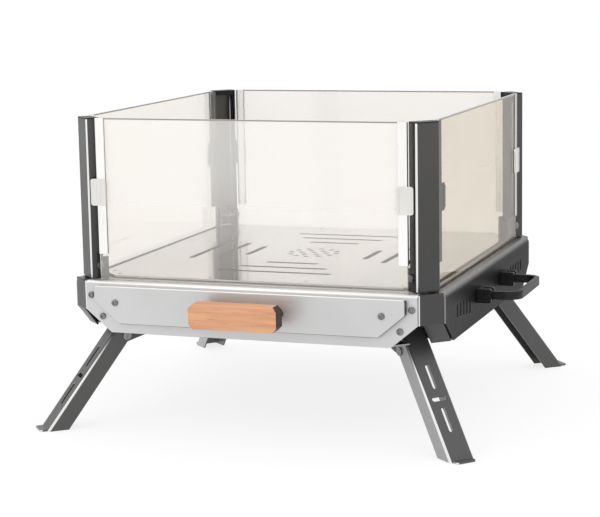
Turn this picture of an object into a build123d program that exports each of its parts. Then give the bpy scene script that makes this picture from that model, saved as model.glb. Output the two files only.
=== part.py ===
from build123d import *
import os
from math import atan2, cos, degrees, radians, sin, sqrt, tan

# A folding fire pit on four folding legs: a shallow sheet steel body with an ash drawer, a slotted
# fire plate in its rim, and a wind guard of four glass panes between folding corner posts.
# Millimetres, +Z up, the drawer towards -Y. The origin is on the floor under the body's middle.

# Body
body_width = 461.2
body_depth = 474.4
ground_clearance = 120.6
body_height = 61.4
hem_height = 26.4
sheet = 2.0
thin_sheet = 1.5
fit_gap = 0.3
pin_play = 0.05

# Corners of the body: where each panel stops, and how much narrower it is at the underside
corner_cut_x = 25.6
corner_cut_y = 24.7
hem_cut_front = 31.7
hem_cut_side = 34.9
front_bend = 4.5
side_bend = 8.0
facet_run = 23.3
facet_edge = 20.6
column_return = 14.0
column_tab_drop = 13.0
column_tab_length = 27.0
column_front_return = 17.0
ledge_margin = 4.0
pan_upstand = 10.0

# Rim, ash guide and fire plate
rim_opening_x = 190.0
rim_opening_y = 195.0
rim_joggle = 10.0
guide_opening_x = 178.0
guide_opening_y = 186.0
guide_drop = 9.5
guide_corner = 3.0
guide_flange_inset = 4.0
plate_inset_x = 26.1
plate_inset_y = 27.2
plate_corner_cut = 24.5
plate_thickness = 2.0
plate_slot_width = 7.5
plate_slot_first_x = 78.0
plate_slot_first_y = 80.5
plate_slot_pitch_x = 30.5
plate_slot_pitch_y = 33.2
plate_slot_lengths = (68.0, 112.0, 145.0)
plate_dimple_radius = 2.2
plate_dimple_inset_x = 13.0
plate_dimple_inset_y = 10.5
plate_dimple_middle = 60.0
plate_dimple_corner = 27.0
plate_ring_radii = (16.0, 30.0)
plate_ring_counts = (6, 12)
plate_ring_hole_radius = 3.5
plate_corner_round = 2.0

# Glass wind guard
guard_height = 192.7
glass_thickness = 4.0
glass_inset_front = 12.9
glass_inset_side = 14.7
glass_end_gap_front = 1.54
glass_end_gap_side = 1.16
strip_width = 11.0
strip_sheet = 0.6
strip_start = 31.0
tab_height = 32.0
tab_rise = 89.0
tab_sheet = 1.6
tab_inner_front = 12.0
tab_outer_front = 7.5
tab_inner_side = 17.7
tab_outer_side = 7.8
tab_corner = 3.0
tab_lip = 3.0
tab_lip_rise = 2.5

# Corner posts and their brackets
post_width = 30.7
post_depth = 16.0
post_sheet = 1.8
post_bend = 3.0
post_inset_x = 17.86
post_inset_y = 19.45
post_pivot_inset = 12.0
post_pivot_rise = 16.5
post_foot_reach = 14.6
post_pin_radius = 2.5
post_pin_head_radius = 4.5
pin_head_thickness = 2.0
ear_sheet = 1.8
post_ear_length = 12.0
cap_plug = 5.0

# Legs and their brackets
leg_plan_angle = 41.0
leg_slope = 52.9
leg_width = 32.6
leg_depth = 21.2
leg_bend = 3.5
leg_head = 17.0
leg_inset_x = 38.9
leg_inset_y = 43.9
leg_pivot_along = 2.5
leg_pivot_depth = 16.3
leg_slot_width = 5.0
leg_slot_starts = (30.5, 84.5)
leg_slot_length = 30.2
leg_window_at = 73.5
leg_window_width = 18.5
leg_foot_lip = 8.0
leg_head_round = 7.4
leg_foot_round = 5.3
leg_pin_radius = 3.0
leg_pin_head_radius = 5.0
leg_ear_radius = 8.0
leg_bracket_length = 46.0
leg_notch_back = 19.0
leg_notch_side = 2.2
rivet_radius = 2.0
rivet_head_radius = 3.5
rivet_head = 1.4
rivet_places = (25.3, 39.1)

# Drawer
drawer_top_inset = 38.6
drawer_bottom_inset = 70.6
drawer_top_drop = 4.5
drawer_straight_height = 18.0
drawer_bottom_rise = 12.1
drawer_face_depth = 7.0
drawer_corner = 4.0
drawer_edge_round = 1.2
drawer_overlap = 4.0
drawer_play = 2.5
drawer_length = 437.0
rail_width = 15.0
rail_inset = 100.0
rail_end_gap = 10.0

# Wooden handle of the drawer
grip_length = 107.0
grip_height = 29.0
grip_thickness = 19.7
grip_corner = 5.0
grip_bevel = 4.0
grip_centre_drop = 27.0
standoff_length = 20.8
standoff_radius = 4.7
standoff_spacing = 86.0
standoff_screw_radius = 2.0

# Side handles
block_depth = 17.0
block_length = 21.0
block_height = 17.0
block_round = 2.8
block_centre_y = 59.5
block_centre_drop = 29.5
handle_bar = 6.0
handle_bar_height = 10.0
handle_reach = 40.0
handle_bend = 16.0
handle_pivot_out = 10.4
handle_pin_radius = 1.6
handle_pin_head_radius = 2.4

# Vents in the side panels
vent_width = 5.0
vent_pitch = 14.2
vent_count = 5
vent_first_inset = 76.2
vent_top_rise = 38.9
vent_height = 17.0
vent_growth = 1.6

# Screws through the panels
screw_radius = 2.0
screw_head_radius = 4.0
screw_head = 2.4
screw_head_round = 1.5
screw_shank = 5.0
screw_socket_radius = 2.0
screw_socket_depth = 1.0
drawer_screw_x = 164.5
drawer_screw_drop = 24.0
column_screw_inset = 6.8
column_screw_drop = 17.0
hem_screw_inset = 20.8
hem_screw_rise = 19.2

# Levels and outlines that follow from the sizes above
half_x = body_width / 2
half_y = body_depth / 2
base_z = ground_clearance
rim_z = base_z + body_height
hem_z = base_z + hem_height
plate_z = rim_z + thin_sheet
front_half = half_x - corner_cut_x
side_half = half_y - corner_cut_y
front_hem_half = front_half - hem_cut_front
side_hem_half = side_half - hem_cut_side
glass_y = half_y - glass_inset_front
glass_x = half_x - glass_inset_side
post_x = half_x - post_inset_x
post_y = half_y - post_inset_y
post_pin_length = post_width + fit_gap
pin_head_line = sqrt(2) * (post_pin_length / 2 + pin_head_thickness)
glass_front_half = (post_x + glass_y - glass_thickness / 2 - post_y - pin_head_line
                    - glass_end_gap_front)
glass_side_half = (post_y + glass_x - glass_thickness / 2 - post_x - pin_head_line
                   - glass_end_gap_side)
ledge_y = glass_y - glass_thickness / 2 - ledge_margin
ledge_x = glass_x - glass_thickness / 2 - ledge_margin
plate_half_x = half_x - plate_inset_x
plate_half_y = half_y - plate_inset_y
slope = radians(leg_slope)
plan = radians(leg_plan_angle)
leg_half_x = half_x - leg_inset_x
leg_half_y = half_y - leg_inset_y
side_edge_round = 0.7 * sheet
column_bend = 1.2 * sheet
column_top_round = 0.8 * sheet
through = 6 * sheet
screw_hole = screw_radius + pin_play
standoff_hole = standoff_screw_radius + pin_play

CORNERS = {
    "front_left": (-1, -1),
    "front_right": (1, -1),
    "rear_left": (-1, 1),
    "rear_right": (1, 1),
}
ENDS = (-1, 1)


def save(builder, name):
    """Label a finished piece and write it to its own file."""
    builder.part.label = name
    export_step(builder.part, f"parts/{name}.step")


def corner_frame(x, y, angle, z, corner):
    """Plane at one corner, its x axis pointing out of the body at angle to X, its z axis up."""
    sx, sy = corner
    out = (sx * cos(angle), sy * sin(angle), 0)
    return Plane(origin=(sx * x, sy * y, z), x_dir=out, z_dir=(0, 0, 1))


def upright(frame):
    """The vertical plane through a corner frame's x axis, with its y axis up."""
    return Plane(origin=frame.origin, x_dir=frame.x_dir, z_dir=-frame.y_dir)


def hem_x(z):
    """Half width of the front and rear panels at height z in the hem."""
    return front_hem_half + (z - base_z) * hem_cut_front / hem_height


def mirrored(piece, corner):
    """The rear right corner's piece, brought to another corner."""
    sx, sy = corner
    with BuildPart() as copy:
        add(piece)
        if sx < 0:
            mirror(about=Plane.YZ, mode=Mode.REPLACE)
        if sy < 0:
            mirror(about=Plane.XZ, mode=Mode.REPLACE)
    return copy


os.makedirs("parts", exist_ok=True)


# Front and rear panels

def drawer_outline(shrink):
    """The drawer's outline across X and up Z, drawn in by shrink all round."""
    top = rim_z - drawer_top_drop
    knee = top - drawer_straight_height
    low = base_z + drawer_bottom_rise
    wide = half_x - drawer_top_inset
    narrow = half_x - drawer_bottom_inset
    with BuildSketch() as outline:
        with BuildLine():
            Polyline((-wide, top), (-wide, knee), (-narrow, low), (narrow, low),
                     (wide, knee), (wide, top), close=True)
        make_face()
        if shrink > 0:
            offset(amount=-shrink, kind=Kind.INTERSECTION)
    return outline.sketch


def end_panel(name, side, opening):
    """A hexagonal panel across the front or rear, bent over at the top into the glass ledge."""
    face = side * half_y
    with BuildPart() as panel:
        with BuildSketch(Plane.YZ.offset(-front_half)):
            with BuildLine():
                edge = FilletPolyline((face, base_z), (face, rim_z), (side * ledge_y, rim_z),
                                      radius=front_bend)
                offset(edge, amount=sheet, side=Side.LEFT if side > 0 else Side.RIGHT)
            make_face()
        extrude(amount=2 * front_half)
        for end in ENDS:
            with BuildSketch(Plane.XZ):
                with BuildLine():
                    Polyline((end * front_half, base_z), (end * front_half, hem_z),
                             (end * front_hem_half, base_z), close=True)
                make_face()
            extrude(amount=body_depth, both=True, mode=Mode.SUBTRACT)
        if opening:
            with BuildSketch(Plane.XZ.offset(-face)):
                add(drawer_outline(drawer_overlap))
            extrude(amount=sheet, both=True, mode=Mode.SUBTRACT)
        for x, z in panel_screws():
            with Locations(Location((x, face, z), (90, 0, 0))):
                Cylinder(screw_hole, through, mode=Mode.SUBTRACT)
    save(panel, name)


def panel_screws():
    """Places of the screws that hold an end panel to the two columns behind it."""
    places = []
    for end in ENDS:
        places.append((end * (front_half - column_screw_inset), rim_z - column_screw_drop))
        places.append((end * (front_half - hem_screw_inset), base_z + hem_screw_rise))
    return places


end_panel("front_frame", -1, True)
end_panel("rear_panel", 1, False)


# Side panels

block_z = rim_z - block_centre_drop

for name, side in (("side_panel_left", -1), ("side_panel_right", 1)):
    face = side * half_x
    with BuildPart() as side_panel:
        with BuildSketch(Plane.XZ.offset(-side_half)):
            with BuildLine():
                edge = FilletPolyline((face, base_z), (face, rim_z), (side * ledge_x, rim_z),
                                      radius=side_bend)
                offset(edge, amount=sheet, side=Side.LEFT if side > 0 else Side.RIGHT)
            make_face()
        extrude(amount=2 * side_half)
        for end in ENDS:
            with BuildSketch(Plane.YZ):
                with BuildLine():
                    Polyline((end * side_half, base_z), (end * side_half, hem_z),
                             (end * side_hem_half, base_z), close=True)
                make_face()
            extrude(amount=body_width, both=True, mode=Mode.SUBTRACT)
            for i in range(vent_count):
                tall = vent_height + i * vent_growth
                y = end * (half_y - vent_first_inset - i * vent_pitch)
                with BuildSketch(Plane.YZ.offset(face)):
                    with Locations((y, base_z + vent_top_rise - tall / 2)):
                        SlotOverall(tall, vent_width, rotation=90)
                extrude(amount=sheet, both=True, mode=Mode.SUBTRACT)
            with Locations(Location((face, end * block_centre_y, block_z), (0, 90, 0))):
                Cylinder(screw_hole, through, mode=Mode.SUBTRACT)
        upright_ends = side_panel.edges().filter_by(Axis.Z).group_by(Axis.X)[0 if side < 0 else -1]
        fillet(upright_ends.filter_by(lambda e: abs(abs(e.center().Y) - side_half) < fit_gap),
               side_edge_round)
    save(side_panel, name)


# Corner columns: a 45 degree face with returns behind both panels, a top and a lower facet

column_slope = corner_cut_y / corner_cut_x
column_x = half_x - sheet
column_y = half_y - sheet
bend_front_x = front_half + sheet / column_slope
bend_side_y = side_half + sheet * column_slope
side_return_top = rim_z - side_bend
front_return_top = rim_z - front_bend
edge_length = sqrt(corner_cut_x**2 + corner_cut_y**2)
along = (corner_cut_x / edge_length, -corner_cut_y / edge_length)
outward = (corner_cut_y / edge_length, corner_cut_x / edge_length)
tab_inner = front_half - column_tab_length
return_inner = front_half - column_front_return
tab_low = hem_z - column_tab_drop
facet_x = half_x - facet_edge
facet_slant = sqrt(facet_run**2 + hem_height**2)


def facet_point(x, z):
    """Point of the facet's outer plane over the plan position x at height z, rear right corner."""
    drop = (hem_z - z) * facet_run / hem_height
    reach = (x - bend_front_x + drop * outward[0]) / along[0]
    return Vector(x, column_y + reach * along[1] - drop * outward[1], z)


with BuildPart() as column:
    with BuildSketch(Plane.XY.offset(hem_z)):
        with BuildLine():
            edge = FilletPolyline((return_inner, column_y), (bend_front_x, column_y),
                                  (column_x, bend_side_y), (column_x, side_half - column_return),
                                  radius=column_bend)
            offset(edge, amount=sheet, side=Side.RIGHT)
        make_face()
    extrude(amount=rim_z - sheet - hem_z)
    with BuildSketch(Plane.XZ.offset(-column_y)):
        with BuildLine():
            Polyline((tab_inner, hem_z), (front_half - fit_gap, hem_z),
                     (hem_x(tab_low) - fit_gap, tab_low), (tab_inner, tab_low), close=True)
        make_face()
    extrude(amount=sheet)
    with BuildSketch(Plane.XY.offset(front_return_top)):
        with Locations((tab_inner, column_y)):
            Rectangle(front_half + fit_gap - tab_inner, 4 * sheet, align=(Align.MIN, Align.CENTER))
    extrude(amount=body_height, mode=Mode.SUBTRACT)
    with BuildSketch(Plane.XY.offset(side_return_top)):
        with Locations((column_x, side_half + fit_gap)):
            Rectangle(4 * sheet, 2 * column_return, align=(Align.CENTER, Align.MAX))
    extrude(amount=body_height, mode=Mode.SUBTRACT)
    with BuildSketch(Plane.XY.offset(rim_z - sheet)):
        with BuildLine():
            Polyline((front_half + fit_gap, column_y), (bend_front_x, column_y),
                     (column_x, bend_side_y), (column_x, side_half + fit_gap),
                     (ledge_x - fit_gap, side_half + fit_gap),
                     (ledge_x - fit_gap, side_half - column_return / 2),
                     (front_half - column_return / 2, ledge_y - fit_gap),
                     (front_half + fit_gap, ledge_y - fit_gap), close=True)
        make_face()
    extrude(amount=sheet)
    top_edge = column.edges().group_by(Axis.Z)[-1]
    fillet(top_edge.sort_by(Axis((0, 0, 0), (outward[0], outward[1], 0)))[-1],
           column_top_round)
    facet_corners = [facet_point(facet_x, hem_z), facet_point(column_x, hem_z),
                     facet_point(column_x, base_z), facet_point(facet_x, base_z)]
    facet_plane = Plane(origin=facet_corners[0],
                        x_dir=(along[0], along[1], 0),
                        z_dir=(outward[0] * hem_height, outward[1] * hem_height, -facet_run))
    with BuildSketch(facet_plane):
        with BuildLine():
            Polyline(*[facet_plane.to_local_coords(p) for p in facet_corners], close=True)
        make_face()
    extrude(amount=-sheet)
    for x, z in panel_screws():
        with Locations(Location((x, half_y, z), (90, 0, 0))):
            Cylinder(screw_hole, through, mode=Mode.SUBTRACT)

for corner_name, corner in CORNERS.items():
    save(mirrored(column.part, corner), f"corner_column_{corner_name}")


# Bottom pan, notched at each corner for the leg that swings there

pivot_x = (leg_half_x + (leg_pivot_along * cos(slope) - leg_pivot_depth * sin(slope)) * cos(plan))
pivot_y = (leg_half_y + (leg_pivot_along * cos(slope) - leg_pivot_depth * sin(slope)) * sin(plan))
pivot_z = base_z - leg_pivot_along * sin(slope) - leg_pivot_depth * cos(slope)
facet_foot = facet_point(facet_x, base_z)
facet_thick = sheet * facet_slant / hem_height + 2 * fit_gap
wall_x = half_x - sheet
wall_y = half_y - sheet

with BuildPart() as pan:
    with BuildSketch(Plane.XY.offset(base_z)) as pan_sketch:
        Rectangle(2 * wall_x, 2 * wall_y)
        for corner in CORNERS.values():
            sx, sy = corner
            foot = (sx * (facet_foot.X - facet_thick * outward[0]),
                    sy * (facet_foot.Y - facet_thick * outward[1]))
            turn = degrees(atan2(sy * outward[1], sx * outward[0]))
            with Locations(Location((foot[0], foot[1], 0), turn)):
                Rectangle(body_width, 2 * body_width, align=(Align.MIN, Align.CENTER),
                          mode=Mode.SUBTRACT)
            turn = degrees(atan2(sy * sin(plan), sx * cos(plan)))
            start = (sx * (pivot_x - leg_notch_back * cos(plan)),
                     sy * (pivot_y - leg_notch_back * sin(plan)))
            with Locations(Location((start[0], start[1], 0), turn)):
                Rectangle(body_width, leg_width + 2 * leg_notch_side,
                          align=(Align.MIN, Align.CENTER), mode=Mode.SUBTRACT)
    extrude(amount=sheet)
    for end in ENDS:
        with Locations((0, end * wall_y, base_z + sheet)):
            Box(wall_x, sheet, pan_upstand,
                align=(Align.CENTER, Align.MAX if end > 0 else Align.MIN, Align.MIN))
        with Locations((end * wall_x, 0, base_z + sheet)):
            Box(sheet, wall_y, pan_upstand,
                align=(Align.MAX if end > 0 else Align.MIN, Align.CENTER, Align.MIN))
    for corner in CORNERS.values():
        frame = corner_frame(pivot_x, pivot_y, plan, base_z, corner)
        with Locations(frame):
            for back in rivet_places:
                with Locations((-back, 0, 0)):
                    Cylinder(rivet_radius + pin_play, through, mode=Mode.SUBTRACT)
save(pan, "bottom_pan")


# Rim frame: a ring level with the ledges, joggled down under them

ring_x = ledge_x - fit_gap
ring_y = ledge_y - fit_gap
column_plate_sum = (side_half - column_return / 2) + (ledge_x - fit_gap)


def cut_rectangle(half_wide, half_long, corner_sum):
    """A rectangle whose corners are cut off where |x| + |y| passes corner_sum."""
    with BuildSketch() as outline:
        Rectangle(2 * half_wide, 2 * half_long)
        for sx in ENDS:
            for sy in ENDS:
                far = (sx * half_wide, sy * half_long)
                with BuildLine():
                    Polyline(far, (far[0], sy * (corner_sum - half_wide)),
                             (sx * (corner_sum - half_long), far[1]), close=True)
                make_face(mode=Mode.SUBTRACT)
    return outline.sketch


with BuildPart() as rim:
    with BuildSketch(Plane.XY.offset(rim_z - sheet)):
        add(cut_rectangle(ring_x, ring_y, column_plate_sum - 2 * fit_gap))
        Rectangle(2 * rim_opening_x, 2 * rim_opening_y, mode=Mode.SUBTRACT)
    extrude(amount=sheet)
    with BuildSketch(Plane.XY.offset(rim_z - 2 * sheet)):
        add(cut_rectangle(ring_x + rim_joggle, ring_y + rim_joggle, column_plate_sum + rim_joggle))
        Rectangle(2 * (ring_x - sheet), 2 * (ring_y - sheet), mode=Mode.SUBTRACT)
    extrude(amount=sheet)
save(rim, "rim_frame")


# Ash guide: a flanged ring that carries the fire plate and leads ash into the drawer

plate_corner_sum = plate_half_x + plate_half_y - plate_corner_cut
with BuildPart() as guide:
    with BuildSketch(Plane.XY.offset(rim_z)):
        add(cut_rectangle(plate_half_x - guide_flange_inset, plate_half_y - guide_flange_inset,
                          plate_corner_sum - 2 * guide_flange_inset))
    extrude(amount=thin_sheet)
    with BuildSketch(Plane.XY.offset(rim_z - guide_drop)):
        RectangleRounded(2 * (guide_opening_x + thin_sheet), 2 * (guide_opening_y + thin_sheet),
                         guide_corner + thin_sheet)
    extrude(amount=guide_drop)
    with BuildSketch(Plane.XY.offset(rim_z - guide_drop)):
        RectangleRounded(2 * guide_opening_x, 2 * guide_opening_y, guide_corner)
    extrude(amount=guide_drop + thin_sheet, mode=Mode.SUBTRACT)
save(guide, "ash_guide")


# Fire plate: lifts out, slotted round the middle, with plain round holes at its centre

with BuildPart() as plate:
    with BuildSketch(Plane.XY.offset(plate_z)):
        add(cut_rectangle(plate_half_x, plate_half_y, plate_corner_sum))
        for i, length in enumerate(plate_slot_lengths):
            for end in ENDS:
                with Locations((end * (plate_slot_first_x + i * plate_slot_pitch_x), 0)):
                    SlotOverall(length, plate_slot_width, rotation=90, mode=Mode.SUBTRACT)
                with Locations((0, end * (plate_slot_first_y + i * plate_slot_pitch_y))):
                    SlotOverall(length, plate_slot_width, mode=Mode.SUBTRACT)
        for radius, count in zip(plate_ring_radii, plate_ring_counts):
            with PolarLocations(radius, count):
                Circle(plate_ring_hole_radius, mode=Mode.SUBTRACT)
        Circle(plate_ring_hole_radius, mode=Mode.SUBTRACT)
    extrude(amount=plate_thickness)
    dimples = []
    for sx in ENDS:
        for sy in ENDS:
            side_x = sx * (plate_half_x - plate_dimple_inset_x)
            side_y = sy * (plate_half_y - plate_dimple_inset_y)
            dimples.append((sx * plate_dimple_middle, side_y))
            dimples.append((sx * (plate_half_x - plate_dimple_corner), side_y))
            dimples.append((side_x, sy * plate_dimple_middle))
            dimples.append((side_x, sy * (plate_half_y - plate_dimple_corner)))
    with BuildSketch(Plane.XY.offset(plate_z + plate_thickness)):
        with Locations(*dimples):
            Circle(plate_dimple_radius)
    extrude(amount=-plate_thickness / 2, mode=Mode.SUBTRACT)
    fillet(plate.edges().filter_by(Axis.Z).filter_by(
        lambda e: abs(e.center().X) > plate_half_x - fit_gap
        or abs(e.center().Y) > plate_half_y - fit_gap), plate_corner_round)
save(plate, "fire_plate")


# Drawer: a folded face that overlaps the panel, a trough with sloping sides between two end
# plates, and the rails that it slides on

drawer_back = -half_y
drawer_front_y = drawer_back - drawer_face_depth
tray_front = drawer_front_y + thin_sheet


def drawer_holes():
    """Cut the holes for the drawer's screws and standoffs through the sheets behind its face."""
    for end in ENDS:
        with Locations(Location((end * drawer_screw_x, tray_front, rim_z - drawer_screw_drop),
                                (90, 0, 0))):
            Cylinder(screw_hole, through, mode=Mode.SUBTRACT)
        with Locations(Location((end * standoff_spacing / 2, tray_front,
                                 rim_z - grip_centre_drop), (90, 0, 0))):
            Cylinder(standoff_hole, through, mode=Mode.SUBTRACT)


with BuildPart() as drawer_face:
    with BuildSketch(Plane.XZ.offset(-drawer_back)) as face_sketch:
        add(drawer_outline(0))
        fillet(face_sketch.vertices(), drawer_corner)
    extrude(amount=drawer_face_depth)
    with BuildSketch(Plane.XZ.offset(-drawer_back)) as hollow_sketch:
        add(drawer_outline(thin_sheet))
        fillet(hollow_sketch.vertices(), drawer_corner - thin_sheet)
    extrude(amount=drawer_face_depth - thin_sheet, mode=Mode.SUBTRACT)
    drawer_holes()
    fillet(drawer_face.faces().sort_by(Axis.Y)[0].outer_wire().edges(), drawer_edge_round)
save(drawer_face, "drawer_front")

tray_shrink = drawer_overlap + drawer_play
tray_length = drawer_back + drawer_length - tray_front
tray_low = base_z + drawer_bottom_rise + tray_shrink
tray_top = rim_z - drawer_top_drop - tray_shrink
with BuildPart() as tray:
    with BuildSketch(Plane.XZ.offset(-tray_front - thin_sheet)):
        add(drawer_outline(tray_shrink))
        add(drawer_outline(tray_shrink + thin_sheet), mode=Mode.SUBTRACT)
        with Locations((0, tray_top)):
            Rectangle(2 * (half_x - drawer_top_inset - tray_shrink - thin_sheet), 4 * thin_sheet,
                      mode=Mode.SUBTRACT)
    extrude(amount=-(tray_length - 2 * thin_sheet))
save(tray, "drawer_tray")

with BuildPart() as tray_ends:
    for start in (tray_front, tray_front + tray_length - thin_sheet):
        with BuildSketch(Plane.XZ.offset(-start)):
            add(drawer_outline(tray_shrink))
        extrude(amount=-thin_sheet)
    drawer_holes()
save(tray_ends, "tray_ends")

rail_top = tray_low - fit_gap
rail_x = half_x - rail_inset
with BuildPart() as rails:
    for end in ENDS:
        with BuildSketch(Plane.XZ.offset(half_y - sheet - rail_end_gap)):
            with BuildLine():
                Polyline((end * (rail_x + rail_width), base_z + sheet),
                         (end * rail_x, base_z + sheet), (end * rail_x, rail_top),
                         (end * (rail_x + rail_width), rail_top),
                         (end * (rail_x + rail_width), rail_top - thin_sheet),
                         (end * (rail_x + thin_sheet), rail_top - thin_sheet),
                         (end * (rail_x + thin_sheet), base_z + sheet + thin_sheet),
                         (end * (rail_x + rail_width), base_z + sheet + thin_sheet), close=True)
            make_face()
        extrude(amount=-drawer_length)
save(rails, "drawer_rails")


# Wooden grip on two round standoffs, with the screws that hold the drawer together

grip_z = rim_z - grip_centre_drop
grip_back_y = drawer_front_y - standoff_length
with BuildPart() as grip:
    with BuildSketch(Plane.XZ.offset(-grip_back_y)):
        with Locations((0, grip_z)):
            grip_outline = Rectangle(grip_length, grip_height)
        chamfer(grip_outline.vertices(), grip_corner)
    extrude(amount=grip_thickness)
    front_edges = grip.faces().sort_by(Axis.Y)[0].outer_wire().edges()
    long_front = front_edges.filter_by(Axis.X)
    chamfer(long_front.sort_by(Axis.Z)[-1], grip_bevel)
    with Locations(Location((-standoff_spacing / 2, grip_back_y, grip_z), (90, 0, 0)),
                   Location((standoff_spacing / 2, grip_back_y, grip_z), (90, 0, 0))):
        Cylinder(standoff_hole, grip_thickness, mode=Mode.SUBTRACT)
save(grip, "wood_handle")

with BuildPart() as standoffs:
    for end in ENDS:
        with BuildSketch(Plane.XZ.offset(-drawer_front_y)):
            with Locations((end * standoff_spacing / 2, grip_z)):
                Circle(standoff_radius)
                Circle(standoff_hole, mode=Mode.SUBTRACT)
        extrude(amount=standoff_length)
save(standoffs, "handle_standoffs")


def pan_screw(seat, direction):
    """A domed screw with its head on the seat point, its shank running along direction."""
    frame = Plane(origin=seat, z_dir=direction)
    with BuildPart() as screw:
        with BuildSketch(frame):
            Circle(screw_radius)
        extrude(amount=screw_shank)
        with BuildSketch(frame):
            Circle(screw_head_radius)
        extrude(amount=-screw_head)
        head_rim = screw.edges().filter_by(GeomType.CIRCLE).sort_by(Axis(seat, direction))[0]
        fillet(head_rim, screw_head_round)
        with BuildSketch(frame.offset(-screw_head)):
            RegularPolygon(screw_socket_radius, 6)
        extrude(amount=screw_socket_depth, mode=Mode.SUBTRACT)
    return screw.part


with BuildPart() as drawer_screws:
    for end in ENDS:
        add(pan_screw((end * drawer_screw_x, drawer_front_y, rim_z - drawer_screw_drop),
                      (0, 1, 0)))
        inside = tray_front + thin_sheet
        with BuildSketch(Plane.XZ.offset(-inside)):
            with Locations((end * standoff_spacing / 2, grip_z)):
                Circle(screw_head_radius)
        extrude(amount=-screw_head)
        with BuildSketch(Plane.XZ.offset(-inside)):
            with Locations((end * standoff_spacing / 2, grip_z)):
                Circle(standoff_screw_radius)
        extrude(amount=inside - grip_back_y + grip_thickness / 2)
save(drawer_screws, "drawer_screws")

with BuildPart() as frame_screws:
    for end in ENDS:
        for x, z in panel_screws():
            add(pan_screw((x, end * half_y, z), (0, -end, 0)))
        for y in ENDS:
            add(pan_screw((end * wall_x, y * block_centre_y, block_z), (end, 0, 0)))
save(frame_screws, "frame_screws")


# Corner posts, their caps, brackets and pins

post_angle = radians(45)
post_low = post_pivot_rise - post_foot_reach
post_high = guard_height - thin_sheet
ear_outer = post_width / 2 - post_sheet - fit_gap
ear_inner_end = post_pivot_inset + post_ear_length
ear_reach = post_pivot_inset - post_sheet - 2 * fit_gap


def channel(width, depth, thickness, bend):
    """A U section with its web's outer face on x = 0 and its flanges towards -x."""
    with BuildSketch() as section:
        with BuildLine():
            edge = FilletPolyline((-depth, -width / 2), (0, -width / 2), (0, width / 2),
                                  (-depth, width / 2), radius=bend)
            offset(edge, amount=thickness, side=Side.LEFT)
        make_face()
    return section.sketch


def pin(frame, radius, length, head_radius):
    """A headed pin along y of the frame, centred on its origin."""
    middle = Plane(origin=frame.origin, z_dir=frame.y_dir)
    with BuildPart() as whole:
        with BuildSketch(middle):
            Circle(radius)
        extrude(amount=length / 2, both=True)
        for end in ENDS:
            with BuildSketch(middle.offset(end * length / 2)):
                Circle(head_radius)
            extrude(amount=end * pin_head_thickness)
    return whole.part


def moved(frame, offset):
    """The frame shifted by an offset given along its own axes."""
    return Plane(origin=frame.from_local_coords(Vector(*offset)), x_dir=frame.x_dir,
                 z_dir=frame.z_dir)


def bore(frame, radius, length):
    """The space of a round hole along y of the frame, centred on its origin."""
    with BuildPart() as space:
        with BuildSketch(Plane(origin=frame.origin, z_dir=frame.y_dir)):
            Circle(radius)
        extrude(amount=length / 2, both=True)
    return space.part


for corner_name, corner in CORNERS.items():
    web = corner_frame(post_x, post_y, post_angle, rim_z, corner)
    pivot = moved(web, (-post_pivot_inset, 0, post_pivot_rise))
    side_view = upright(web)

    with BuildPart() as post:
        with BuildSketch(web.offset(post_low)):
            add(channel(post_width, post_depth, post_sheet, post_bend))
        extrude(amount=post_high - post_low)
        with BuildSketch(side_view):
            with Locations((-post_depth / 2, (post_low + post_high) / 2)):
                outline = Rectangle(post_depth, post_high - post_low)
            free_edge = outline.vertices().group_by(Axis.X)[0]
            fillet(free_edge.sort_by(Axis.Y)[0], post_depth - post_pivot_inset)
        extrude(amount=post_width, both=True, mode=Mode.INTERSECT)
        add(bore(pivot, post_pin_radius + pin_play, 2 * post_width), mode=Mode.SUBTRACT)
    save(post, f"post_{corner_name}")

    with BuildPart() as cap:
        with BuildSketch(web.offset(post_high)):
            with Locations((-post_depth / 2, 0)):
                outline = Rectangle(post_depth, post_width)
            fillet(outline.vertices().group_by(Axis.X)[-1], post_bend)
        extrude(amount=thin_sheet)
        with BuildSketch(web.offset(post_high)):
            with Locations(((-post_depth - post_sheet) / 2, 0)):
                RectangleRounded(post_depth - post_sheet - 2 * fit_gap,
                                 post_width - 2 * post_sheet - 2 * fit_gap,
                                 post_bend - post_sheet)
        extrude(amount=-cap_plug)
    save(cap, f"post_cap_{corner_name}")

    with BuildPart() as bracket:
        with BuildSketch(web):
            with Locations((-ear_inner_end, 0)):
                Rectangle(ear_inner_end - thin_sheet, 2 * ear_outer,
                          align=(Align.MIN, Align.CENTER))
        extrude(amount=thin_sheet)
        for end in ENDS:
            with BuildSketch(side_view.offset(end * ear_outer)):
                top = post_pivot_rise + ear_reach
                outer = -post_pivot_inset + ear_reach
                with BuildLine():
                    Polyline((outer, post_pivot_rise), (outer, 0), (-ear_inner_end, 0),
                             (-ear_inner_end, top), (-post_pivot_inset, top))
                    RadiusArc((-post_pivot_inset, top), (outer, post_pivot_rise), ear_reach)
                make_face()
            extrude(amount=-end * ear_sheet)
        add(bore(pivot, post_pin_radius + pin_play, 2 * post_width), mode=Mode.SUBTRACT)
    save(bracket, f"post_bracket_{corner_name}")

with BuildPart() as post_pins:
    for corner in CORNERS.values():
        web = corner_frame(post_x, post_y, post_angle, rim_z, corner)
        add(pin(moved(web, (-post_pivot_inset, 0, post_pivot_rise)),
                post_pin_radius, post_pin_length, post_pin_head_radius))
save(post_pins, "post_pins")


# Glass panes with their edge trims and hooking tabs

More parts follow.
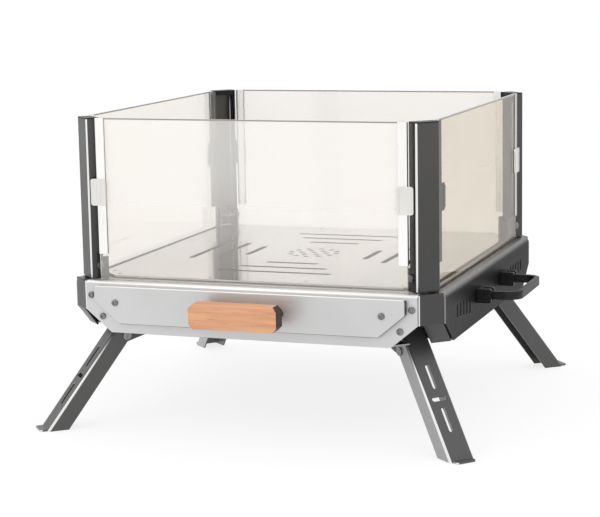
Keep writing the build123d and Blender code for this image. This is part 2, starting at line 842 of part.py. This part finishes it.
def pane(name, outward, away, half, tab_inner, tab_outer):
    """One upright pane facing outward, the trims on its ends and the tabs outside the trims."""
    normal = Vector(*outward)
    foot = Plane(origin=normal * away + Vector(0, 0, rim_z),
                 x_dir=normal.cross(Vector(0, 0, 1)), z_dir=(0, 0, 1))
    pane_half = half - strip_sheet

    with BuildPart() as glass:
        with BuildSketch(foot):
            Rectangle(2 * pane_half, glass_thickness)
        extrude(amount=guard_height)
    save(glass, f"glass_{name}")

    with BuildPart() as strips:
        with BuildSketch(foot.offset(strip_start)):
            for end in ENDS:
                with Locations((end * (half - strip_width / 2), 0)):
                    Rectangle(strip_width, glass_thickness + 2 * strip_sheet)
            Rectangle(2 * pane_half, glass_thickness, mode=Mode.SUBTRACT)
        extrude(amount=guard_height - strip_start)
    save(strips, f"glass_strips_{name}")

    face = Plane(origin=foot.origin + normal * (glass_thickness / 2 + strip_sheet),
                 x_dir=Vector(0, 0, 1).cross(normal), z_dir=normal)
    tab_length = tab_inner + tab_outer
    with BuildPart() as tabs:
        for end in ENDS:
            middle = end * (half + (tab_outer - tab_inner) / 2)
            with BuildSketch(face):
                with Locations((middle, tab_rise + tab_height / 2)):
                    RectangleRounded(tab_length, tab_height, tab_corner)
            extrude(amount=tab_sheet)
            with BuildSketch(face):
                with Locations((end * (half - tab_inner + tab_lip / 2), tab_rise + tab_height / 2)):
                    Rectangle(tab_lip, tab_height - 2 * tab_corner)
            extrude(amount=tab_lip_rise)
    save(tabs, f"glass_tabs_{name}")


pane("front", (0, -1, 0), glass_y, glass_front_half, tab_inner_front, tab_outer_front)
pane("rear", (0, 1, 0), glass_y, glass_front_half, tab_inner_front, tab_outer_front)
pane("left", (-1, 0, 0), glass_x, glass_side_half, tab_inner_side, tab_outer_side)
pane("right", (1, 0, 0), glass_x, glass_side_half, tab_inner_side, tab_outer_side)


# Legs, their brackets under the pan, pins and rivets

leg_web_end = base_z / sin(slope)
leg_flange_end = (base_z - leg_depth * cos(slope)) / sin(slope)
leg_ear_outer = leg_width / 2 - sheet - fit_gap
ear_front = leg_ear_radius / 2
pivot_drop = base_z - pivot_z

for corner_name, corner in CORNERS.items():
    top = corner_frame(leg_half_x, leg_half_y, plan, base_z, corner)
    down = top.x_dir * cos(slope) - top.z_dir * sin(slope)
    normal = top.x_dir * sin(slope) + top.z_dir * cos(slope)
    section = Plane(origin=top.origin, x_dir=normal, z_dir=down)
    flank = Plane(origin=top.origin, x_dir=down, z_dir=down.cross(normal))
    web_face = Plane(origin=top.origin, x_dir=down, z_dir=normal)
    pivot = corner_frame(pivot_x, pivot_y, plan, pivot_z, corner)
    floor = corner_frame(leg_half_x, leg_half_y, plan, 0, corner)
    foot_x = base_z / tan(slope)

    with BuildPart() as leg:
        with BuildSketch(section.offset(-leg_head)):
            add(channel(leg_width, leg_depth, sheet, leg_bend))
        extrude(amount=leg_head + leg_web_end)
        with BuildSketch(flank):
            with BuildLine():
                Polyline((-leg_head, 0), (leg_web_end, 0), (leg_flange_end, -leg_depth),
                         (-leg_head, -leg_depth), close=True)
            outline = make_face()
            free_edge = outline.vertices().group_by(Axis.Y)[0].sort_by(Axis.X)
            fillet(free_edge[0], leg_head_round)
            fillet(free_edge[-1], leg_foot_round)
        extrude(amount=leg_width, both=True, mode=Mode.INTERSECT)
        with BuildSketch(web_face):
            for start in leg_slot_starts:
                with Locations((start + leg_slot_length / 2, 0)):
                    SlotOverall(leg_slot_length, leg_slot_width)
            with Locations((leg_window_at, 0)):
                SlotOverall(leg_window_width, leg_slot_width, rotation=90)
        extrude(amount=-2 * sheet, mode=Mode.SUBTRACT)
        with BuildSketch(floor):
            with Locations((foot_x - sheet, 0)):
                lip = Rectangle(leg_foot_lip + sheet, leg_width - 2 * leg_bend,
                                align=(Align.MIN, Align.CENTER))
            fillet(lip.vertices().group_by(Axis.X)[-1], leg_bend)
        extrude(amount=sheet)
        add(bore(pivot, leg_pin_radius + pin_play, 2 * leg_width), mode=Mode.SUBTRACT)
    save(leg, f"leg_{corner_name}")

    with BuildPart() as bracket:
        with BuildSketch(pivot.offset(pivot_drop - sheet)):
            with Locations((-leg_bracket_length, 0)):
                Rectangle(leg_bracket_length - leg_notch_back, 2 * leg_ear_outer,
                          align=(Align.MIN, Align.CENTER))
            with Locations(*[(-back, 0) for back in rivet_places]):
                Circle(rivet_radius + pin_play, mode=Mode.SUBTRACT)
        extrude(amount=sheet)
        for end in ENDS:
            with BuildSketch(upright(pivot).offset(end * leg_ear_outer)):
                with BuildLine():
                    Polyline((-leg_bracket_length, pivot_drop), (ear_front, pivot_drop),
                             (ear_front, pivot_drop / 2), (-leg_bracket_length, pivot_drop / 2),
                             close=True)
                    CenterArc((0, 0), leg_ear_radius, 0, 360)
                make_hull()
            extrude(amount=-end * sheet)
        add(bore(pivot, leg_pin_radius + pin_play, 2 * leg_width), mode=Mode.SUBTRACT)
    save(bracket, f"leg_bracket_{corner_name}")

with BuildPart() as leg_pins:
    for corner in CORNERS.values():
        add(pin(corner_frame(pivot_x, pivot_y, plan, pivot_z, corner),
                leg_pin_radius, leg_width + fit_gap, leg_pin_head_radius))
save(leg_pins, "leg_pins")

with BuildPart() as rivets:
    for corner in CORNERS.values():
        for back in rivet_places:
            pivot = corner_frame(pivot_x, pivot_y, plan, base_z, corner)
            for level, radius, height in (
                (-sheet - rivet_head, rivet_head_radius, rivet_head),
                (-sheet, rivet_radius, 2 * sheet),
                (sheet, rivet_head_radius, rivet_head),
            ):
                with BuildSketch(pivot.offset(level)):
                    with Locations((-back, 0)):
                        Circle(radius)
                extrude(amount=height)
save(rivets, "bracket_rivets")


# Side handles: a U grip turning in two slotted blocks

for name, side in (("left", -1), ("right", 1)):
    seat = Plane(origin=(side * half_x, 0, block_z), x_dir=(side, 0, 0), z_dir=(0, 0, 1))
    slot_start = handle_pivot_out - handle_bar_height / 2 - fit_gap
    pin_line = moved(seat, (handle_pivot_out, 0, 0))
    pin_hole = bore(pin_line, handle_pin_radius + pin_play, body_depth)

    with BuildPart() as blocks:
        for end in ENDS:
            with BuildSketch(seat.offset(-block_height / 2)):
                with Locations((0, end * block_centre_y)):
                    Rectangle(block_depth, block_length, align=(Align.MIN, Align.CENTER))
            extrude(amount=block_height)
        far_edges = blocks.edges().filter_by(Axis.Y)
        fillet([e for e in far_edges if abs(e.center().X) > half_x + block_depth / 2],
               block_round)
        with BuildSketch(seat.offset(-block_height)):
            for end in ENDS:
                with Locations((slot_start, end * block_centre_y)):
                    Rectangle(block_depth, handle_bar + 2 * fit_gap,
                              align=(Align.MIN, Align.CENTER))
        extrude(amount=2 * block_height, mode=Mode.SUBTRACT)
        add(pin_hole, mode=Mode.SUBTRACT)
        with BuildSketch(Plane.YZ.offset(side * half_x)):
            for end in ENDS:
                with Locations((end * block_centre_y, block_z)):
                    Circle(screw_radius + pin_play)
        extrude(amount=side * (slot_start - fit_gap), mode=Mode.SUBTRACT)
    save(blocks, f"handle_blocks_{name}")

    with BuildPart() as handle:
        bar_x = handle_pivot_out + handle_reach - handle_bar / 2
        with BuildSketch(seat.offset(-handle_bar_height / 2)):
            with BuildLine():
                FilletPolyline((handle_pivot_out, -block_centre_y), (bar_x, -block_centre_y),
                               (bar_x, block_centre_y), (handle_pivot_out, block_centre_y),
                               radius=handle_bend)
            trace(line_width=handle_bar)
        extrude(amount=handle_bar_height)
        for end in ENDS:
            eye = moved(seat, (handle_pivot_out, end * block_centre_y, 0))
            with BuildSketch(Plane(origin=eye.origin, z_dir=eye.y_dir)):
                Circle(handle_bar_height / 2)
            extrude(amount=handle_bar / 2, both=True)
        add(pin_hole, mode=Mode.SUBTRACT)
    save(handle, f"side_handle_{name}")

with BuildPart() as handle_pins:
    for side in ENDS:
        for end in ENDS:
            place = Plane(origin=(side * (half_x + handle_pivot_out), end * block_centre_y, block_z),
                          x_dir=(1, 0, 0), z_dir=(0, 0, 1))
            add(pin(place, handle_pin_radius, block_length, handle_pin_head_radius))
save(handle_pins, "handle_pins")
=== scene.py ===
from math import cos, radians, sin

import bmesh
import bpy
from mathutils import Matrix, Vector


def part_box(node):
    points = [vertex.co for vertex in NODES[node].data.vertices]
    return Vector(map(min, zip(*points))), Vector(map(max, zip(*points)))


# The looks of a folding fire pit: a material for every CAD piece, soft studio light and a camera.
# Metres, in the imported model's frame.

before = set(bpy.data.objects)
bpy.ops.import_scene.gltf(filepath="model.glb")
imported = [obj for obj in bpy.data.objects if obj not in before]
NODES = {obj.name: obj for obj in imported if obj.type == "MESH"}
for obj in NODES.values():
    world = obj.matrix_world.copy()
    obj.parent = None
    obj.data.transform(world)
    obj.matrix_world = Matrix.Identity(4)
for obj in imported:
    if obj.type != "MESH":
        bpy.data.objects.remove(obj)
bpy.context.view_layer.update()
MM = 0.001


# Camera, from a fit of the body's corners to their places in the photograph

camera_place = Vector((0.7585, -2.1456, 0.5568))
camera_azimuth = radians(19.93)
camera_pitch = radians(9.45)
camera_roll = radians(-1.091)
lens_mm = 108.63
sensor_mm = 36
far_clip = 300

forward = Vector((-sin(camera_azimuth) * cos(camera_pitch),
                  cos(camera_azimuth) * cos(camera_pitch),
                  -sin(camera_pitch)))
level_right = Vector((cos(camera_azimuth), sin(camera_azimuth), 0))
level_up = level_right.cross(forward)
right = level_right * cos(camera_roll) + level_up * sin(camera_roll)
up = level_up * cos(camera_roll) - level_right * sin(camera_roll)

camera_data = bpy.data.cameras.new("camera")
camera_data.lens = lens_mm
camera_data.sensor_width = sensor_mm
camera_data.clip_end = far_clip
camera = bpy.data.objects.new("camera", camera_data)
camera.matrix_world = Matrix.LocRotScale(
    camera_place, Matrix((right, up, -forward)).transposed(), None)
bpy.context.scene.collection.objects.link(camera)
bpy.context.scene.camera = camera
bpy.context.scene.view_settings.view_transform = "Standard"


# Light: a white world and one large soft lamp from the front left

sky_strength = 1.0
key_place = Vector((-1.3, -2.4, 2.6))
key_target = Vector((0, 0, 0.2))
key_side = 1.8
key_power = 14

world = bpy.data.worlds.new("studio")
world.use_nodes = True
sky = world.node_tree.nodes["Background"]
sky.inputs["Color"].default_value = (1, 1, 1, 1)
sky.inputs["Strength"].default_value = sky_strength
bpy.context.scene.world = world

key_data = bpy.data.lights.new("key", "AREA")
key_data.shape = "SQUARE"
key_data.size = key_side
key_data.energy = key_power
key = bpy.data.objects.new("key", key_data)
key.location = key_place
key.rotation_euler = (key_target - key_place).to_track_quat("-Z", "Y").to_euler()
bpy.context.scene.collection.objects.link(key)


# Material building

# A Mix node's colour sockets, by number: its other kinds have sockets of the same names
MIX_SHARE, MIX_FIRST, MIX_SECOND, MIX_RESULT = 0, 6, 7, 2


class Finish:
    """A node material round one Principled shader, with short ways to add its texture nodes."""

    def __init__(self, name, **plain):
        self.material = bpy.data.materials.new(name)
        self.material.use_nodes = True
        self.tree = self.material.node_tree
        self.shader = self.tree.nodes["Principled BSDF"]
        self.place = self.tree.nodes.new("ShaderNodeTexCoord")
        for socket, value in plain.items():
            self.shader.inputs[socket.replace("_", " ")].default_value = value

    def link(self, value, socket):
        """Feed an output, or set a plain number or colour, on a socket."""
        if isinstance(value, bpy.types.NodeSocket):
            self.tree.links.new(value, socket)
        elif socket.type == "RGBA":
            socket.default_value = (*value, 1)
        else:
            socket.default_value = value

    def math(self, operation, *values):
        """One arithmetic node."""
        node = self.tree.nodes.new("ShaderNodeMath")
        node.operation = operation
        for value, socket in zip(values, node.inputs):
            self.link(value, socket)
        return node.outputs[0]

    def absolute(self, value):
        """The value without its sign."""
        return self.math("ABSOLUTE", value)

    def step(self, value, low, high, start=0.0, end=1.0):
        """A soft step of value from start at low to end at high."""
        node = self.tree.nodes.new("ShaderNodeMapRange")
        node.interpolation_type = "SMOOTHSTEP"
        for amount, name in ((value, "Value"), (low, "From Min"), (high, "From Max"),
                             (start, "To Min"), (end, "To Max")):
            self.link(amount, node.inputs[name])
        return node.outputs["Result"]

    def mix(self, share, first, second, blend="MIX"):
        """The first colour, with a share of the second."""
        node = self.tree.nodes.new("ShaderNodeMix")
        node.data_type = "RGBA"
        node.blend_type = blend
        self.link(share, node.inputs[MIX_SHARE])
        self.link(first, node.inputs[MIX_FIRST])
        self.link(second, node.inputs[MIX_SECOND])
        return node.outputs[MIX_RESULT]

    def shade(self, tone, factor):
        """A colour made darker or lighter by a factor, which is a node's output."""
        grey = self.tree.nodes.new("ShaderNodeCombineColor")
        for socket in grey.inputs:
            self.link(factor, socket)
        return self.mix(1.0, tone, grey.outputs[0], "MULTIPLY")

    def noise(self, scale, detail, stretch=(1, 1, 1), rough=0.5):
        """Noise over the piece's own metres: scale grains to the metre, times stretch."""
        mapping = self.tree.nodes.new("ShaderNodeMapping")
        mapping.inputs["Scale"].default_value = stretch
        self.tree.links.new(self.place.outputs["Object"], mapping.inputs["Vector"])
        node = self.tree.nodes.new("ShaderNodeTexNoise")
        node.inputs["Scale"].default_value = scale
        node.inputs["Detail"].default_value = detail
        node.inputs["Roughness"].default_value = rough
        self.tree.links.new(mapping.outputs["Vector"], node.inputs["Vector"])
        return node.outputs[0]

    def component(self, vector, axis):
        """One component of a texture coordinate."""
        node = self.tree.nodes.new("ShaderNodeSeparateXYZ")
        self.tree.links.new(self.place.outputs[vector], node.inputs[0])
        return node.outputs[axis]

    def facing(self, axis):
        """How far the surface faces along one of the piece's own axes, -1 to 1."""
        return self.component("Normal", axis)

    def at(self, axis):
        """The piece's own coordinate along an axis, in metres."""
        return self.component("Object", axis)

    def toward(self, direction):
        """How far the surface faces along a direction given in the piece's own axes."""
        node = self.tree.nodes.new("ShaderNodeVectorMath")
        node.operation = "DOT_PRODUCT"
        self.tree.links.new(self.place.outputs["Normal"], node.inputs[0])
        node.inputs[1].default_value = direction
        return node.outputs["Value"]

    def rays(self, *kinds):
        """1 for rays of any of these kinds, or else 0."""
        path = self.tree.nodes.new("ShaderNodeLightPath")
        found = path.outputs[kinds[0]]
        for kind in kinds[1:]:
            found = self.math("MAXIMUM", found, path.outputs[kind])
        return found

    def bump(self, height, strength, distance):
        """Relief whose height comes from a node's output."""
        node = self.tree.nodes.new("ShaderNodeBump")
        node.inputs["Strength"].default_value = strength
        node.inputs["Distance"].default_value = distance
        self.link(height, node.inputs["Height"])
        self.tree.links.new(node.outputs[0], self.shader.inputs["Normal"])

    def colour(self, value):
        """Set the base colour."""
        self.link(value, self.shader.inputs["Base Color"])

    def rough(self, value):
        """Set the roughness."""
        self.link(value, self.shader.inputs["Roughness"])


# Metals

brush_depth = 0.02 * MM
trim_tones = ((0.92, 0.91, 0.89), (0.98, 0.975, 0.96))
trim_grain = {"along": "Z", "roughness": 0.3, "depth": 0.05}

# The facing values between which a face comes square to a direction
square_on = (0.93, 0.99)


def brushed(finish, dark, light, along, roughness=None, scale=900, streak=0.03, depth=0.25):
    """A colour with fine brushing along one axis, slightly cloudy.

    Where a roughness is given, the streaks also set the finish's roughness and relief.
    """
    stretch = [1, 1, 1]
    stretch["XYZ".index(along)] = streak
    streaks = finish.noise(scale, 4, stretch)
    if roughness:
        finish.rough(finish.step(streaks, 0.25, 0.75, roughness * 0.85, roughness * 1.2))
        finish.bump(streaks, depth, brush_depth)
    tone = finish.mix(finish.step(streaks, 0.3, 0.7), dark, light)
    cloud = finish.step(finish.noise(9, 2), 0.3, 0.7, 0.96, 1.03)
    return finish.shade(tone, cloud)


def plain_steel(name, dark, light, along, roughness, **grain):
    """Brushed steel that is the same all over."""
    finish = Finish(name, Metallic=1.0)
    finish.colour(brushed(finish, dark, light, along, roughness, **grain))
    return finish.material


def front_steel():
    """The pale front: a painted highlight where it bends up to the ledge, painted light on the
    ledge, painted shade on its sides and undersides.
    """
    bend_highlight = (0.95, 0.945, 0.93)
    ledge = (0.66, 0.645, 0.62)
    side_and_under_shade = (0.05, 0.05, 0.05)
    finish = Finish("front_steel", Metallic=0.7)
    tone = brushed(finish, (0.625, 0.625, 0.625), (0.64, 0.64, 0.638), "X", 0.42, depth=0.03)
    upward = finish.facing("Z")
    # painted highlight on the faces that turn up towards the ledge
    tone = finish.mix(finish.step(upward, 0.25, 0.6), tone, bend_highlight)
    # painted light on the upward-facing ledge
    tone = finish.mix(finish.step(upward, *square_on), tone, ledge)
    # painted shade on the faces that turn sideways or down
    sideways = finish.step(finish.absolute(finish.facing("X")), 0.45, 0.8)
    under = finish.step(finish.math("MULTIPLY", upward, -1.0), 0.3, 0.8)
    finish.colour(finish.mix(finish.math("MAXIMUM", sideways, under), tone, side_and_under_shade))
    return finish.material


def side_steel():
    """Dark satin sheet, a little lighter near the front as painted light, with painted light on its
    rolled rim and a painted highlight on its ends.
    """
    painted_end_highlight = (0.26, 0.26, 0.258)
    finish = Finish("side_steel", Metallic=1.0, Specular_Tint=(0.5, 0.5, 0.5, 1))
    tone = brushed(finish, (0.053, 0.051, 0.053), (0.063, 0.061, 0.062), "Y")
    # painted light: lighter towards the front
    tone = finish.shade(tone, finish.step(finish.at("Y"), -0.24, -0.05, 1.4, 1.12))
    # painted light on the upward-facing rolled rim
    rim = brushed(finish, (0.34, 0.33, 0.33), (0.52, 0.51, 0.5), "Y", 0.4, scale=1200, streak=0.2)
    tone = finish.mix(finish.step(finish.facing("Z"), 0.12, 0.95), tone, rim)
    # painted highlight along the panel's front and rear ends
    end_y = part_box("side_panel_left")[1].y
    end_highlight_mask = finish.step(finish.absolute(finish.at("Y")), end_y - 1.2 * MM, end_y - 0.6 * MM)
    finish.colour(finish.mix(end_highlight_mask, tone, painted_end_highlight))
    return finish.material


def dark_sheet(finish, lift=1.0):
    """Dark upright brushing, darker towards the foot, and lighter in all by lift."""
    tone = brushed(finish, (0.085, 0.084, 0.081), (0.092, 0.090, 0.087), "Z", 0.34,
                   scale=1100, depth=0.03)
    return finish.shade(tone, finish.step(finish.at("Z"), 0.15, 0.38, 0.82 * lift, 1.08 * lift))


def tint_and_highlight_bends(finish, tone, bend_from):
    """Tint a sheet in clouds, and paint a highlight on the bends that turn to its front and rear.
    """
    cloud_tint = (0.105, 0.096, 0.108)
    painted_bend_light = (0.85, 0.85, 0.84)
    bend_softness = 0.07
    tinted = finish.mix(finish.step(finish.noise(5, 1), 0.35, 0.65, 0.0, 0.35), tone, cloud_tint)
    # painted highlight on the bends that face front or rear
    bend_highlight = finish.step(finish.absolute(finish.facing("Y")), bend_from, bend_from + bend_softness)
    finish.colour(finish.mix(bend_highlight, tinted, painted_bend_light))


def dark_steel():
    """The posts, the corner columns and the brackets."""
    finish = Finish("dark_steel", Metallic=1.0)
    tint_and_highlight_bends(finish, dark_sheet(finish), 0.86)
    return finish.material


def leg_steel():
    """The legs: lighter than the posts by painted light, with a painted pale lit flank and an
    almost black web of painted shade.
    """
    flank_angle = radians(41)
    web_direction = (-0.60, -0.52, 0.60)
    finish = Finish("leg_steel", Metallic=0.3)
    # painted light: the legs' steel lifted lighter than the posts'
    tone = dark_sheet(finish, lift=1.25)
    # painted light on the flank that faces the front left
    flank = finish.toward((-sin(flank_angle), -cos(flank_angle), 0))
    tone = finish.mix(finish.step(flank, *square_on), tone, (0.5, 0.5, 0.495))
    # painted shade on the web
    web = finish.toward(web_direction)
    tone = finish.mix(finish.step(web, *square_on), tone, (0.055, 0.055, 0.053))
    tint_and_highlight_bends(finish, tone, 0.82)
    return finish.material


def shaded_trim():
    """Bright trim with painted shade on its sideways faces: dull grey at the rear and dark near the
    front.
    """
    rear_shade = (0.72, 0.7, 0.68)
    dark = (0.06, 0.052, 0.05)
    finish = Finish("shaded_trim", Metallic=1.0)
    tone = brushed(finish, *trim_tones, **trim_grain)
    near = finish.step(finish.at("Y"), -0.12, 0.12, 1.0, 0.0)
    # painted shade on the faces that turn sideways
    sideways = finish.step(finish.absolute(finish.facing("X")), 0.5, 0.9)
    finish.colour(finish.mix(sideways, tone, finish.mix(near, rear_shade, dark)))
    return finish.material


def plate_steel():
    """The fire plate: pale and nearly mirror bright, with painted shade in its slots, dimples and
    rear edges.
    """
    front_edge = (0.6, 0.58, 0.55)
    recess_shade = (0.012, 0.011, 0.01)
    finish = Finish("plate_steel", Metallic=1.0)
    tone = brushed(finish, (0.64, 0.63, 0.615), (0.7, 0.69, 0.675), "Y", 0.11,
                   scale=700, depth=0.05)
    aside = finish.step(finish.absolute(finish.at("X")), 0.05, 0.19, 1.03, 0.84)
    tone = finish.shade(tone, aside)
    low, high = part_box("fire_plate")
    upward = finish.step(finish.facing("Z"), 0.3, 0.8)
    raised = finish.step(finish.at("Z"), high.z - 0.8 * MM, high.z - 0.5 * MM)
    # painted shade on all but the raised top; the front edge keeps a pale tone
    behind_edge = finish.step(finish.at("Y"), low.y + 0.5 * MM, low.y + 1.5 * MM)
    deep = finish.mix(behind_edge, front_edge, recess_shade)
    finish.colour(finish.mix(finish.math("MULTIPLY", upward, raised), deep, tone))
    return finish.material


def sooty_steel():
    """Sheet below the fire, darkened by ash."""
    finish = Finish("sooty_steel", Metallic=0.8)
    ash = finish.step(finish.noise(70, 5), 0.45, 0.75, 0.0, 0.5)
    tone = brushed(finish, (0.05, 0.048, 0.045), (0.08, 0.077, 0.072), "X", 0.5)
    finish.colour(finish.mix(ash, tone, (0.13, 0.125, 0.12)))
    return finish.material


def black_metal():
    """Semi-gloss black paint with a fine orange peel, with a painted sheen a little lighter on
    upward faces.
    """
    top_sheen = (0.06, 0.06, 0.06)
    peel_depth = 0.03 * MM
    finish = Finish("black_metal", Specular_IOR_Level=0.3)
    grain = finish.noise(2200, 2)
    tone = finish.mix(finish.step(grain, 0.3, 0.7), (0.005, 0.005, 0.005), (0.010, 0.010, 0.010))
    # painted sheen on upward faces
    finish.colour(finish.mix(finish.step(finish.facing("Z"), 0.5, 1.0, 0.0, 0.5), tone, top_sheen))
    finish.rough(finish.step(grain, 0.3, 0.7, 0.38, 0.5))
    finish.bump(grain, 0.2, peel_depth)
    return finish.material


# Wood and glass

def wood():
    """Pale reddish wood with straight grain along the grip, and dark end grain deepened by painted
    shade.
    """
    fibre_brown = (0.42, 0.16, 0.07)
    pore_brown = (0.3, 0.1, 0.045)
    end_grain_and_shade = (0.045, 0.016, 0.011)
    fibre_depth = 0.05 * MM
    finish = Finish("wood", Specular_IOR_Level=0.35)
    grain = finish.noise(260, 5, (0.05, 1, 1), rough=0.6)
    fibre = finish.noise(1500, 3, (0.02, 1, 1))
    pores = finish.noise(900, 2, (0.06, 1, 1))
    tone = finish.mix(finish.step(grain, 0.3, 0.7), (0.65, 0.315, 0.172), (0.78, 0.427, 0.25))
    tone = finish.mix(finish.step(fibre, 0.45, 0.8, 0.0, 0.35), tone, fibre_brown)
    tone = finish.mix(finish.step(pores, 0.66, 0.74, 0.0, 0.5), tone, pore_brown)
    # dark end grain together with painted shade on the end faces
    end = finish.step(finish.absolute(finish.facing("X")), 0.45, 0.65)
    finish.colour(finish.mix(end, tone, end_grain_and_shade))
    finish.rough(finish.step(fibre, 0.3, 0.7, 0.42, 0.6))
    finish.bump(fibre, 0.25, fibre_depth)
    return finish.material


def glass(name, haze, tint, clear_low, clear_high, ior=1.45, dark_foot=False):
    """Toughened glass between two tones of painted veil, which stand for reflected light; how clear
    it is goes from clear_low up to clear_high.

    Its ground top edge is grey, and its foot may carry a painted dark line of shade. Shadow rays
    and diffuse rays pass straight through.
    """
    ground_edge = (0.3, 0.28, 0.25)
    foot_shade = (0.02, 0.018, 0.016)
    finish = Finish(name, IOR=ior, Roughness=0.0)
    foot, top = (corner.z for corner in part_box("glass_front"))
    height = finish.at("Z")
    clear = finish.step(height, foot, foot + 0.8 * (top - foot), clear_low, clear_high)
    solid = finish.step(height, top - 1.8 * MM, top - 1.2 * MM)
    pane = finish.mix(finish.step(finish.noise(6, 2), 0.3, 0.7), haze, tint)
    tone = finish.mix(solid, pane, ground_edge)
    # painted shade: a dark line along the pane's foot
    if dark_foot:
        at_foot = finish.step(height, foot + 1.4 * MM, foot + 2.0 * MM, 1.0, 0.0)
        tone = finish.mix(at_foot, tone, foot_shade)
        solid = finish.math("MAXIMUM", solid, at_foot)
    finish.colour(tone)
    finish.link(finish.math("MULTIPLY", finish.math("SUBTRACT", 1.0, solid), clear),
                finish.shader.inputs["Transmission Weight"])
    straight = finish.tree.nodes.new("ShaderNodeBsdfTransparent")
    straight.inputs["Color"].default_value = (0.95, 0.94, 0.92, 1)
    both = finish.tree.nodes.new("ShaderNodeMixShader")
    finish.link(finish.rays("Is Shadow Ray", "Is Diffuse Ray"), both.inputs[0])
    finish.link(finish.shader.outputs[0], both.inputs[1])
    finish.link(straight.outputs[0], both.inputs[2])
    finish.link(both.outputs[0], finish.tree.nodes["Material Output"].inputs["Surface"])
    return finish.material


# The finish of each CAD slot, and the pieces whose finish isn't their slot's

FINISHES = {
    "brushed_steel": front_steel(),
    "side_steel": side_steel(),
    "rim_steel": plain_steel("rim_steel", (0.56, 0.55, 0.54), (0.8, 0.79, 0.77), "Y", 0.4,
                             scale=1300, streak=0.4),
    "dark_steel": dark_steel(),
    "bright_steel": plain_steel("bright_steel", *trim_tones, **trim_grain),
    "plate_steel": plate_steel(),
    "inner_steel": plain_steel("inner_steel", (0.3, 0.3, 0.295), (0.4, 0.4, 0.39), "X", 0.42),
    "fastener_steel": plain_steel("fastener_steel", (0.16, 0.16, 0.16), (0.3, 0.3, 0.3), "Z", 0.28),
    "black_metal": black_metal(),
    "wood": wood(),
    "glass": glass("glass_ends", (0.985, 0.96, 0.93), (0.99, 0.975, 0.955), 0.88, 0.66),
}

legs = leg_steel()
sooty = sooty_steel()
right_trim = shaded_trim()
tabs = plain_steel("tab_steel", (0.76, 0.74, 0.71), (0.83, 0.81, 0.78), **trim_grain)

OWN_FINISH = {
    # Each side pane has its own copy of the glass, its haze, tint and clearness painted for the
    # light it reflects.
    "glass_left": glass("glass_clear", (0.955, 0.93, 0.89), (0.96, 0.94, 0.905), 0.93, 0.85,
                        dark_foot=True),
    "glass_right": glass("glass_right_painted_veil", (0.80, 0.74, 0.64), (0.83, 0.78, 0.69), 0.95, 0.93,
                         ior=1.15, dark_foot=True),
    "glass_tabs_front": tabs,
    "glass_tabs_rear": tabs,
    "glass_tabs_left": tabs,
    "glass_tabs_right": right_trim,
    "glass_strips_right": right_trim,
    "handle_pins": FINISHES["black_metal"],
    "drawer_tray": sooty,
    "tray_ends": sooty,
    "ash_guide": sooty,
}
for corner in ("front_left", "front_right", "rear_left", "rear_right"):
    OWN_FINISH["leg_" + corner] = legs
    OWN_FINISH["leg_bracket_" + corner] = FINISHES["dark_steel"]


# Every CAD piece: its material, and edges eased by a bevel

weld_distance = 0.001 * MM
edge_ease = 0.35 * MM
sharp_angle = radians(35)

for name, piece in NODES.items():
    slot = piece.material_slots[0]
    slot.material = OWN_FINISH.get(name, FINISHES[slot.material.name])
    weld = piece.modifiers.new("weld", "WELD")
    weld.merge_threshold = weld_distance
    ease = piece.modifiers.new("ease", "BEVEL")
    ease.width = edge_ease
    ease.segments = 2
    ease.limit_method = "ANGLE"
    ease.angle_limit = sharp_angle
    ease.harden_normals = True


# Floor: wide and pale; rays that see it as background find a grey with a glow on it

floor_reach = 80
floor_drop = 0.5 * MM
floor_glow = 0.8
seen_grey = (0.22, 0.22, 0.22)

floor_mesh = bpy.data.meshes.new("floor")
shape = bmesh.new()
bmesh.ops.create_circle(shape, cap_ends=True, segments=64, radius=floor_reach)
shape.to_mesh(floor_mesh)
shape.free()
floor = bpy.data.objects.new("floor", floor_mesh)
bpy.context.scene.collection.objects.link(floor)
floor.location.z = -floor_drop

pale = Finish("floor_pale", Roughness=0.9, Specular_IOR_Level=0.0, Emission_Color=(1, 1, 1, 1))
seen = pale.rays("Is Camera Ray", "Is Glossy Ray", "Is Transmission Ray")
mottle = pale.mix(pale.noise(3, 2), (0.9, 0.9, 0.9), (0.92, 0.92, 0.92))
pale.colour(pale.mix(seen, mottle, seen_grey))
pale.link(pale.math("MULTIPLY", seen, floor_glow), pale.shader.inputs["Emission Strength"])
floor_mesh.materials.append(pale.material)
